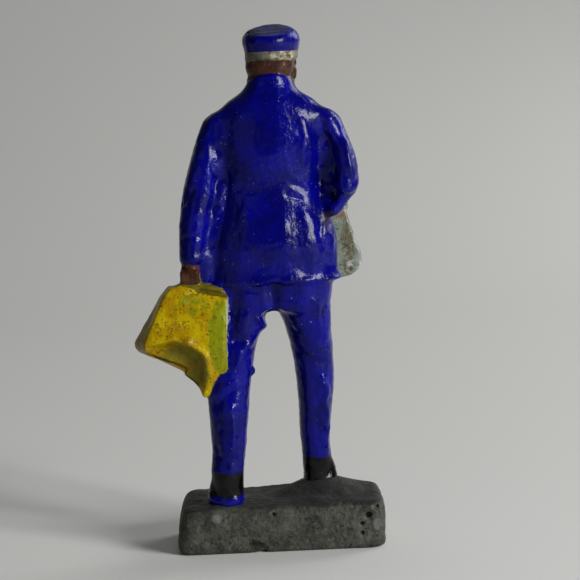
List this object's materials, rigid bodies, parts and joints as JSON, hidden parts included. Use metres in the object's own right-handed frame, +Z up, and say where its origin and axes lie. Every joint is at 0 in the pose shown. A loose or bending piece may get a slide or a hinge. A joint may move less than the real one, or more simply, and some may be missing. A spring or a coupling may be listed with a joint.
{
  "type": "painted miniature figure",
  "caption": "Painted miniature figure of a uniformed luggage porter on a block base, holding a yellow travelling bag at the left side and a pale bag in front of the right hip.",
  "frame": {"origin": "centre of the underside of the base block, on the surface that the figure stands on", "axes": "+Z up; the figure faces -Y; +X is the wearer's left, along the long side of the base"},
  "size_m": [0.0277, 0.0136, 0.0603],
  "materials": {
    "base_enamel": "mid grey enamel, satin, pitted",
    "black_enamel": "gloss black enamel",
    "blue_enamel": "gloss ultramarine enamel, hand brushed",
    "button_enamel": "dull silver-grey enamel",
    "skin_enamel": "gloss dark brown enamel",
    "band_enamel": "silver-grey enamel, yellowed",
    "yellow_enamel": "gloss yellow enamel with a green tinge",
    "olive_enamel": "gloss olive-yellow enamel",
    "pale_enamel": "gloss pale grey-green enamel, stained"
  },
  "bodies": {
    "root": {"base_block": "base_enamel", "left_shoe": "black_enamel", "right_shoe": "black_enamel", "left_trouser_leg": "blue_enamel", "right_trouser_leg": "blue_enamel", "trouser_seat": "blue_enamel", "jacket": "blue_enamel", "jacket_collar": "blue_enamel", "jacket_buttons": "button_enamel", "left_sleeve": "blue_enamel", "right_sleeve": "blue_enamel", "left_hand": "skin_enamel", "right_hand": "skin_enamel", "head": "skin_enamel", "cap_band": "band_enamel", "cap_crown": "blue_enamel", "cap_peak": "black_enamel", "yellow_bag_body": "yellow_enamel", "yellow_bag_frame": "olive_enamel", "yellow_bag_handle": "olive_enamel", "pale_bag_body": "pale_enamel", "pale_bag_frame": "pale_enamel", "pale_bag_handle": "pale_enamel"}
  },
  "joints": []
}
